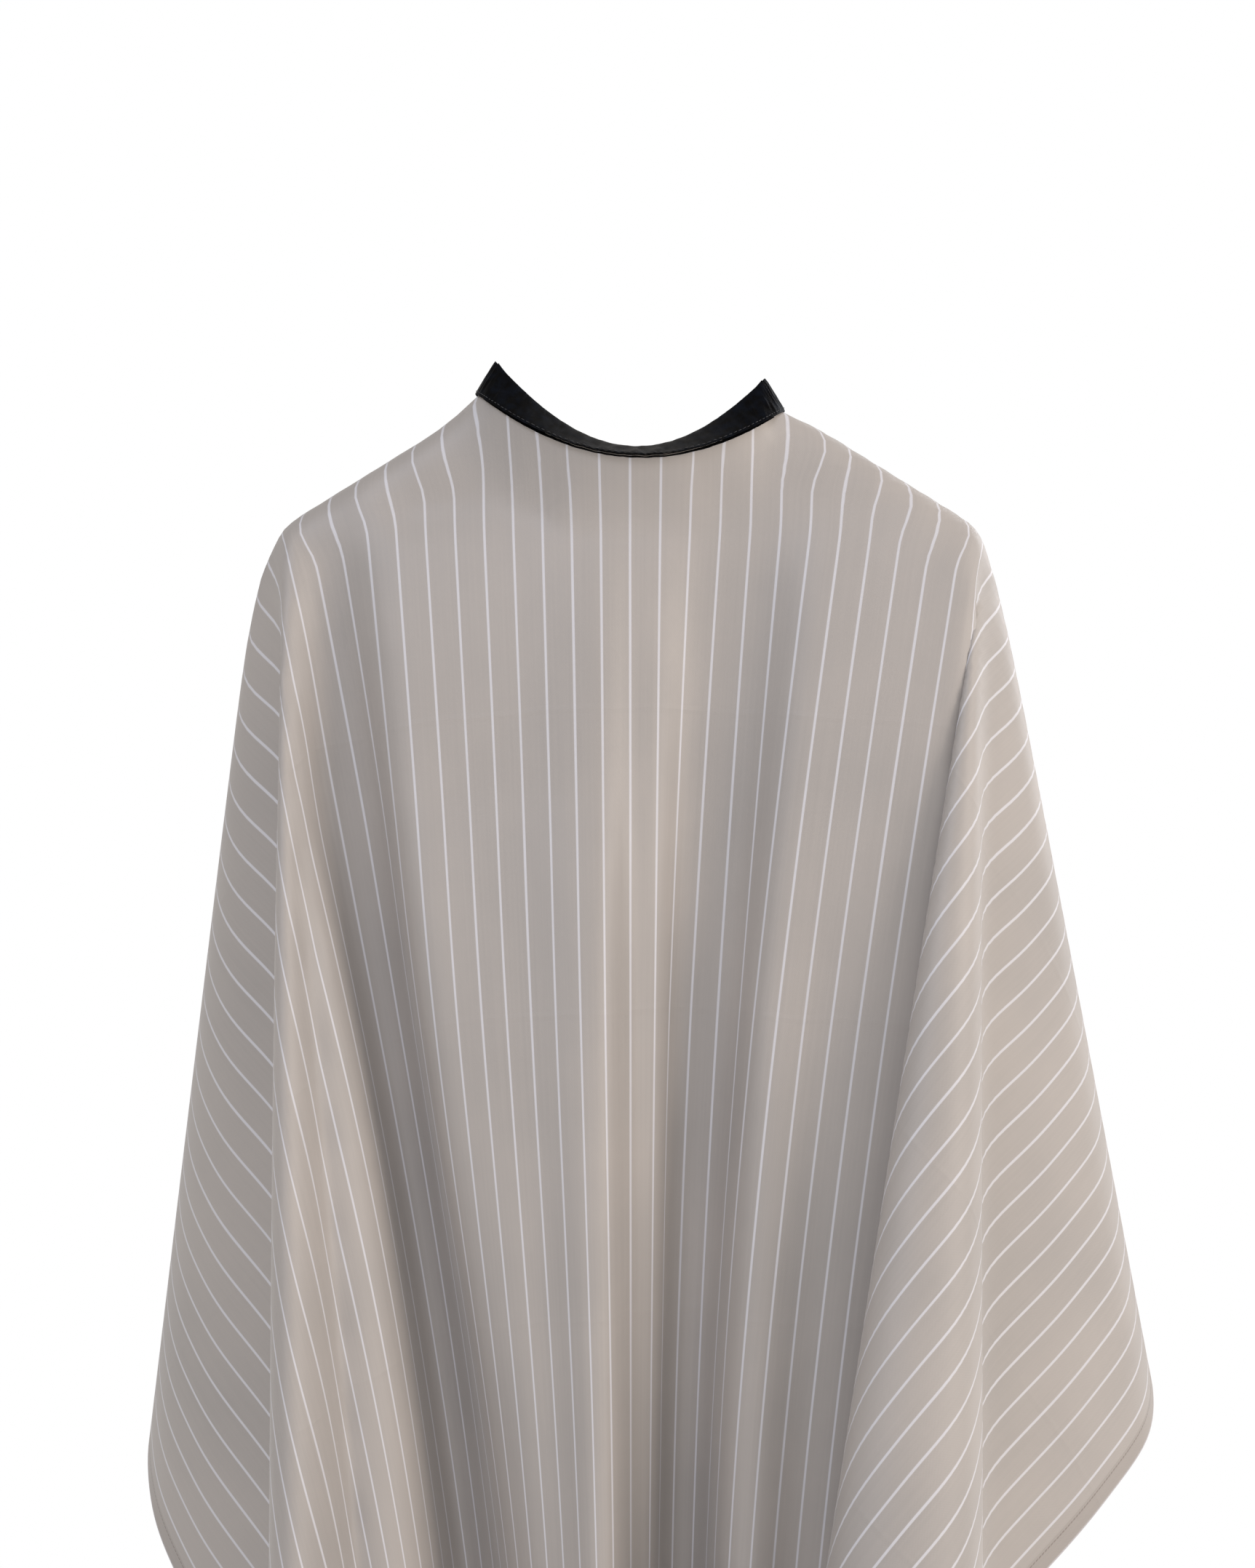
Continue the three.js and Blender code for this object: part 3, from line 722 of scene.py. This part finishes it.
def wrinkle(angle, height, depth):
    """Crinkles of the gathered band: upright puckers from the elastic, calmer along its edges."""
    middle = math.sin(math.pi * min(max(height / BAND_HEIGHT, 0), 1))
    pucker = noise.noise(Vector((angle * 26, height / (14 * MM), 3.1)))
    fine = noise.noise(Vector((angle * 60, height / (7 * MM), 9.7)))
    return depth * (pucker + 0.5 * fine) * (0.35 + 0.65 * middle)


def mesh_piece(name, points, faces):
    """A new piece in the scene from its points and faces."""
    mesh = bpy.data.meshes.new(name)
    mesh.from_pydata([tuple(p) for p in points], [], faces)
    piece = bpy.data.objects.new(name, mesh)
    bpy.context.scene.collection.objects.link(piece)
    return piece


def cloth_strip(name, start, stop, steps, low, high, inside, thickness, depth):
    """A strip of cloth along the band, of this thickness, with rounded edges and puckers of this depth."""
    rows = 9
    rounding = 0.4 * thickness
    points = []
    for step in range(steps + 1):
        share = step / steps
        angle = start + (stop - start) * share
        bottom, top = low(share), high(share)
        upward, downward = range(rows + 1), range(rows, -1, -1)
        for face, pull, order in ((thickness, -rounding, upward), (0.0, rounding, downward)):
            for row in order:
                height = bottom + (top - bottom) * row / rows
                offset = inside + face + (pull if row in (0, rows) else 0.0)
                points.append(band_point(angle, height, offset + wrinkle(angle, height, depth)))
    ring = 2 * (rows + 1)
    faces = []
    for base in range(0, steps * ring, ring):
        for corner in range(ring):
            after = (corner + 1) % ring
            faces.append((base + corner, base + ring + corner, base + ring + after, base + after))
    last = steps * ring
    for row in range(rows):
        faces.append((row, row + 1, ring - 2 - row, ring - 1 - row))
        faces.append((last + ring - 1 - row, last + ring - 2 - row, last + row + 1, last + row))
    return mesh_piece(name, points, faces)


def tongue_half_height(share):
    """Half the height of the tongue along its length, rounded off at the tip."""
    left = (1 - share) * TONGUE_LENGTH
    radius = TONGUE_HEIGHT / 2
    if left >= radius:
        return radius
    return max(1.5 * MM, math.sqrt(radius ** 2 - (radius - left) ** 2))


def stand_in(piece, node, body):
    """Hides the CAD node that the piece stands in for, and puts the piece on this body."""
    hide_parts(node)
    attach(piece, body)


def add_band_cloth(name, node, material, margin, inside, thickness):
    """One layer of the neckband, all the way round from one side of the slit to the other."""
    start = angle_from_back(BAND_END_GAP)
    stop = angle_from_back(-BAND_END_GAP) + 2 * math.pi
    piece = cloth_strip(name, start, stop, 300, lambda share: margin, lambda share: BAND_HEIGHT - margin,
                        inside, thickness, BAND_PUCKER)
    finish_surface(piece, material, 1)
    stand_in(piece, node, "cape")


def add_tongue_cloth(name, node, material, inside):
    """One layer of the tongue, from the slit to its rounded tip."""
    start = angle_from_back(-BAND_END_GAP)
    stop = angle_from_back(TONGUE_LENGTH)
    piece = cloth_strip(name, start, stop, 60, lambda share: SNAP_HEIGHT - tongue_half_height(share),
                        lambda share: SNAP_HEIGHT + tongue_half_height(share), inside, CLOTH, TONGUE_PUCKER)
    finish_surface(piece, material, 1)
    stand_in(piece, node, "closure_tongue")


add_band_cloth("band_outer_cloth", "neckband_outer", band_satin, 0.0, OUTER_FACE - CLOTH, CLOTH)
add_band_cloth("band_elastic_knit", "neckband_elastic", elastic_knit, ELASTIC_MARGIN,
               -ELASTIC / 2, ELASTIC)
add_band_cloth("band_lining_cloth", "neckband_lining", band_plain, 0.0, -OUTER_FACE, CLOTH)
add_tongue_cloth("tongue_outer_cloth", "tongue_outer", band_satin, TONGUE_OUTER - CLOTH)
add_tongue_cloth("tongue_lining_cloth", "tongue_lining", band_plain, TONGUE_INNER)


# ---- stitching --------------------------------------------------------------------------------------------


STITCH_LENGTH = 3 * MM
STITCH_RADIUS = 0.28 * MM
STITCH_SIDES = 6
SEAM_LIFT = 0.1 * MM
BAND_SEAM_HEIGHT = 2.2 * MM
BAND_SEAM_END = 4 * MM
TONGUE_SEAM_INSET = 2 * MM
TONGUE_SEAM_LENGTH = 46 * MM


def stitch_row(name, places, body):
    """Short raised stitches along a line of places, each with the outward direction there."""
    points, faces = [], []
    for (entry, out), (exit_place, _) in zip(places[::2], places[1::2]):
        along = (exit_place - entry).normalized()
        across = along.cross(out).normalized()
        base = len(points)
        for centre, swell in ((entry, 0.4), ((entry + exit_place) / 2, 1.0), (exit_place, 0.4)):
            radius = STITCH_RADIUS * swell
            for turn in range(STITCH_SIDES):
                angle = 2 * math.pi * turn / STITCH_SIDES
                points.append(centre + across * radius * math.cos(angle) + out * radius * math.sin(angle))
        for ring in (base, base + STITCH_SIDES):
            upper = ring + STITCH_SIDES
            for turn in range(STITCH_SIDES):
                after = (turn + 1) % STITCH_SIDES
                faces.append((ring + turn, ring + after, upper + after, upper + turn))
        faces.append(tuple(base + turn for turn in reversed(range(STITCH_SIDES))))
        faces.append(tuple(base + 2 * STITCH_SIDES + turn for turn in range(STITCH_SIDES)))
    piece = mesh_piece(name, points, faces)
    finish_surface(piece, thread, 0)
    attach(piece, body)


def band_seam(height, offset, depth, start, stop):
    """Places along the band, two for each stitch, that follow its puckers."""
    length = abs(stop - start) * (NECK_HALF_WIDTH + NECK_HALF_DEPTH) / 2
    count = 2 * int(length / STITCH_LENGTH)
    places = []
    for number in range(count):
        shift = 0.25 if number % 2 else 0.0
        angle = start + (stop - start) * (number + shift) / count
        out = band_frame(angle)[2]
        places.append((band_point(angle, height, offset + wrinkle(angle, height, depth)), out))
    return places


def add_band_seam():
    """The seam that closes the band over the cape's neck edge."""
    start = angle_from_back(BAND_SEAM_END)
    stop = angle_from_back(-BAND_SEAM_END) + 2 * math.pi
    places = band_seam(BAND_SEAM_HEIGHT, OUTER_FACE + SEAM_LIFT, BAND_PUCKER, start, stop)
    stitch_row("band_lower_seam", places, "cape")


def add_tongue_seam(name, side):
    """The seam along the tongue's lower edge, or its upper one when side is 1."""
    start = angle_from_back(-BAND_END_GAP)
    stop = angle_from_back(TONGUE_SEAM_LENGTH)
    height = SNAP_HEIGHT + side * (TONGUE_HEIGHT / 2 - TONGUE_SEAM_INSET)
    places = band_seam(height, TONGUE_OUTER + SEAM_LIFT, TONGUE_PUCKER, start, stop)
    stitch_row(name, places, "closure_tongue")


add_band_seam()
add_tongue_seam("tongue_seam_low", -1)
add_tongue_seam("tongue_seam_high", 1)


# ---- root of the tongue: the cloth that joins it to the band ----------------------------------------------

ROOT_LENGTH = 14 * MM
ROOT_TIP = 1.8 * MM
ROOT_BEND_START = 12 * MM
ROOT_THICKNESS = 1.5 * CLOTH
ROOT_HEIGHT = 0.98 * TONGUE_HEIGHT
ROOT_SEWN_OFFSET = OUTER_FACE + 0.9 * MM
ROOT_TIP_OFFSET = TONGUE_INNER + 0.2 * MM


def add_tongue_root():
    """A short sleeve from the band's outer face, sewn down beyond the slit, out to the tongue."""
    steps, rows = 14, 8
    points = []
    for face in (0.0, ROOT_THICKNESS):
        for step in range(steps + 1):
            share = step / steps
            angle = angle_from_back(-ROOT_LENGTH * (1 - share) - ROOT_TIP)
            rise = float(soft_step(np.array(share)))
            offset = ROOT_SEWN_OFFSET + (ROOT_TIP_OFFSET - ROOT_SEWN_OFFSET) * rise
            for row in range(rows + 1):
                height = SNAP_HEIGHT + ROOT_HEIGHT * (row / rows - 0.5)
                points.append(band_point(angle, height, offset + face))
    line = rows + 1
    sheet = (steps + 1) * line
    faces = []
    for here in range(0, steps * line, line):
        for low in range(here, here + rows):
            faces.append((low, low + 1, low + line + 1, low + line))
            faces.append((sheet + low, sheet + low + line, sheet + low + line + 1, sheet + low + 1))
    for low in range(0, steps * line, line):
        high = low + rows
        faces.append((low, low + line, sheet + low + line, sheet + low))
        faces.append((sheet + high, sheet + high + line, high + line, high))
    for low in range(rows):
        high = steps * line + low
        faces.append((sheet + low, sheet + low + 1, low + 1, low))
        faces.append((high, high + 1, sheet + high + 1, sheet + high))
    piece = mesh_piece("tongue_root_cloth", points, faces)
    finish_surface(piece, band_satin, 0)
    start = band_point(angle_from_back(-ROOT_BEND_START), SNAP_HEIGHT, OUTER_FACE)
    end = band_point(angle_from_back(-ROOT_TIP), SNAP_HEIGHT, OUTER_FACE)
    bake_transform(piece)


add_tongue_root()


# ---- snaps ------------------------------------------------------------------------------------------------

TURNS = 40


def turned(name, node, distance, offset, profile, material, body):
    """A turned piece on the band, this far from the slit, its axis along the outward direction."""
    angle = angle_from_back(distance)
    out = band_normal(angle, SNAP_HEIGHT)
    seat = band_point(angle, SNAP_HEIGHT, 0) + out * offset
    place = Matrix.Translation(seat) @ out.to_track_quat("Z", "Y").to_matrix().to_4x4()
    is_loop = profile[0] == profile[-1]
    rows = profile[:-1] if is_loop else profile
    points, faces = [], []
    for radius, height in rows:
        for turn in range(TURNS):
            around = 2 * math.pi * turn / TURNS
            points.append(place @ Vector((radius * math.cos(around), radius * math.sin(around), height)))
    for row in range(len(profile) - 1):
        below, above = row * TURNS, ((row + 1) % len(rows)) * TURNS
        for turn in range(TURNS):
            after = (turn + 1) % TURNS
            faces.append((below + turn, below + after, above + after, above + turn))
    piece = mesh_piece(name, points, faces)
    tidy = bmesh.new()
    tidy.from_mesh(piece.data)
    bmesh.ops.remove_doubles(tidy, verts=tidy.verts, dist=1e-6)
    bmesh.ops.recalc_face_normals(tidy, faces=tidy.faces)
    tidy.to_mesh(piece.data)
    tidy.free()
    finish_surface(piece, material, 0)
    stand_in(piece, node, body)


def arc(centre, radius, start, stop, steps, stretch=1.0):
    """Points of an arc in a profile, between two angles in degrees, made this much wider than high."""
    points = []
    for step in range(steps + 1):
        angle = math.radians(start + (stop - start) * step / steps)
        points.append((centre[0] + radius * stretch * math.cos(angle), centre[1] + radius * math.sin(angle)))
    return points


def whole_ring(centre, radius, steps, stretch=1.0):
    """A closed round section, whose last point is its first."""
    points = arc(centre, radius, 0, 360, steps, stretch)
    return points[:-1] + points[:1]


# A profile is a list of radius and height, from the axis out and back, in metres.
RIM = SNAP_DIAMETER / 2
HEAD = HEAD_DIAMETER / 2
BORE = HEAD + 0.75 * MM
BORE_WALL = BORE + 0.8 * MM
STUD = ([(0, 0.05 * MM), (RIM - 0.35 * MM, 0.05 * MM)]
        + arc((RIM - 0.35 * MM, 0.35 * MM), 0.3 * MM, -90, 90, 6)
        + [(RIM - 1.6 * MM, 0.5 * MM), (RIM - 2.0 * MM, 0.38 * MM), (HEAD + 0.5 * MM, 0.45 * MM)]
        + arc((HEAD + 0.5 * MM, 1.1 * MM), 0.65 * MM, 270, 180, 5)
        + arc((HEAD - 0.45 * MM, 2.1 * MM), 0.45 * MM, -20, 80, 6)
        + [(HEAD * 0.4, 2.66 * MM), (0, 2.68 * MM)])
CAP_DOME = [(radius * MM, (1.68 - 0.045 * radius ** 2) * MM) for radius in (4, 3, 2, 1, 0)]
CAP = ([(0, 0.05 * MM), (RIM - 0.3 * MM, 0.05 * MM)]
       + arc((RIM - 0.3 * MM, 0.45 * MM), 0.4 * MM, -90, 90, 6)
       + [(RIM - 1.0 * MM, 0.72 * MM), (RIM - 1.5 * MM, 0.86 * MM)] + CAP_DOME)
SOCKET = ([(BORE, 0.0), (RIM - 0.9 * MM, 0.0)]
          + arc((RIM - 0.7 * MM, 0.7 * MM), 0.7 * MM, -80, 0, 5)
          + [(RIM, SOCKET_HEIGHT), (BORE_WALL, SOCKET_HEIGHT)]
          + [(BORE_WALL, 0.8 * MM), (BORE, 0.7 * MM), (BORE, 0.0)])
SPRING = whole_ring((BORE + 0.08 * MM, 1.28 * MM), 0.2 * MM, 12)
PRONG = whole_ring((RIM - 1.4 * MM, -0.45 * MM), 0.42 * MM, 14, 2.3)


def sag_under(angle, radius):
    """How far the hollow side of the band falls away under a flat disc of this radius."""
    spread = (NECK_HALF_WIDTH * math.sin(angle)) ** 2 + (NECK_HALF_DEPTH * math.cos(angle)) ** 2
    bend = spread ** 1.5 / (NECK_HALF_WIDTH * NECK_HALF_DEPTH)
    return radius ** 2 / (2 * bend)


def add_stud(number):
    """A stud on the band's outer face, and the prong ring that clenches it from the neck side."""
    distance = FIRST_STUD + (number - 1) * SNAP_PITCH
    ring_seat = -OUTER_FACE - 2 * CLEARANCE - sag_under(angle_from_back(distance), RIM)
    turned(f"stud_{number}", f"snap_stud_{number}", distance, OUTER_FACE + CLEARANCE, STUD,
           nickel, "cape")
    turned(f"clench_ring_{number}", f"prong_ring_{number}", distance, ring_seat, PRONG,
           brass, "cape")


def add_socket(number):
    """A socket on the tongue with the spring inside it and the cap that holds it from outside."""
    distance = FIRST_STUD + (number - 1) * SNAP_PITCH
    turned(f"socket_{number}", f"snap_socket_{number}", distance, SOCKET_SEAT, SOCKET,
           nickel, "closure_tongue")
    turned(f"spring_{number}", f"socket_spring_{number}", distance, SOCKET_SEAT, SPRING,
           brass, "closure_tongue")
    turned(f"cap_{number}", f"snap_cap_{number}", distance, TONGUE_OUTER + CLEARANCE, CAP,
           nickel, "closure_tongue")


for number in range(1, SNAP_COUNT + 1):
    add_stud(number)
for number in range(1, CLOSED_SNAPS + 1):
    add_socket(number)


# ---- stage ------------------------------------------------------------------------------------------------

FLOOR_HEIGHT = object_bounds()[0].z - 100 * MM
FLOOR_HALF = 3.0


def add_floor():
    """A plain pale floor under the hanging cape."""
    signs = ((-1, -1), (1, -1), (1, 1), (-1, 1))
    corners = [(x * FLOOR_HALF, y * FLOOR_HALF, FLOOR_HEIGHT) for x, y in signs]
    floor = mesh_piece("studio_floor", corners, [(0, 1, 2, 3)])
    material, tree, shader = new_material("matt_white_paper", 0.95)
    place = add_node(tree, "ShaderNodeTexCoord", {}, output="Object")
    mottle = add_node(tree, "ShaderNodeTexNoise", {0: place, "Scale": 1 / (330 * MM)})
    tones = {0: mottle, 6: linear("#ececec"), 7: linear("#f2f2f2")}
    colour = add_node(tree, "ShaderNodeMix", tones, output=2, data_type="RGBA")
    tree.links.new(colour, shader.inputs["Base Color"])
    finish_surface(floor, material, 0)


def add_light(name, place, target, width, height, power, colour):
    """A soft rectangular light that faces its target."""
    light = bpy.data.lights.new(name, "AREA")
    light.shape = "RECTANGLE"
    light.size, light.size_y = width, height
    light.energy = power
    light.color = linear(colour)[:3]
    lamp = bpy.data.objects.new(name, light)
    lamp.location = place
    lamp.rotation_euler = (Vector(target) - Vector(place)).to_track_quat("-Z", "Y").to_euler()
    bpy.context.scene.collection.objects.link(lamp)


def add_air():
    """Clean white behind the cape for the eye, and a softer, warmer fill on the cape itself."""
    world = bpy.data.worlds.new("studio_air")
    world.use_nodes = True
    air = world.node_tree
    seen = add_node(air, "ShaderNodeBackground", {"Color": linear("#ffffff"), "Strength": 1.0})
    felt = add_node(air, "ShaderNodeBackground", {"Color": linear("#f4efea"), "Strength": 0.68})
    to_eye = add_node(air, "ShaderNodeLightPath", {}, output="Is Camera Ray")
    chosen = add_node(air, "ShaderNodeMixShader", {0: to_eye, 1: felt, 2: seen})
    air.links.new(chosen, air.nodes["World Output"].inputs["Surface"])
    bpy.context.scene.world = world


add_floor()
add_light("key_right", (2.8, -1.3, 0.6), (0, 0, -0.5), 1.4, 2.2, 48, "#fff3e9")
add_light("cool_front", (-1.2, -2.8, 1.9), (0, 0, -0.5), 1.6, 1.2, 34, "#dfe9ff")
add_light("rim_back", (2.2, 1.7, 0.9), (0, 0, -0.4), 1.4, 1.8, 34, "#f4f8ff")
add_air()
bpy.context.scene.view_settings.view_transform = "Standard"


# ---- camera -----------------------------------------------------------------------------------------------

VIEW_HEIGHT = 1.0025
VIEW_CENTRE = Vector((-1.6 * MM, 0, -243 * MM))
CAMERA_DISTANCE = 3.2

camera = bpy.data.cameras.new("camera")
camera.sensor_fit = "VERTICAL"
camera.sensor_height = 36
camera.lens = camera.sensor_height * CAMERA_DISTANCE / VIEW_HEIGHT
camera.dof.use_dof = False
view_point = bpy.data.objects.new("camera", camera)
view_point.location = VIEW_CENTRE + Vector((0, -CAMERA_DISTANCE, 0))
view_point.rotation_euler = (math.pi / 2, 0, 0)
bpy.context.scene.collection.objects.link(view_point)
bpy.context.scene.camera = view_point
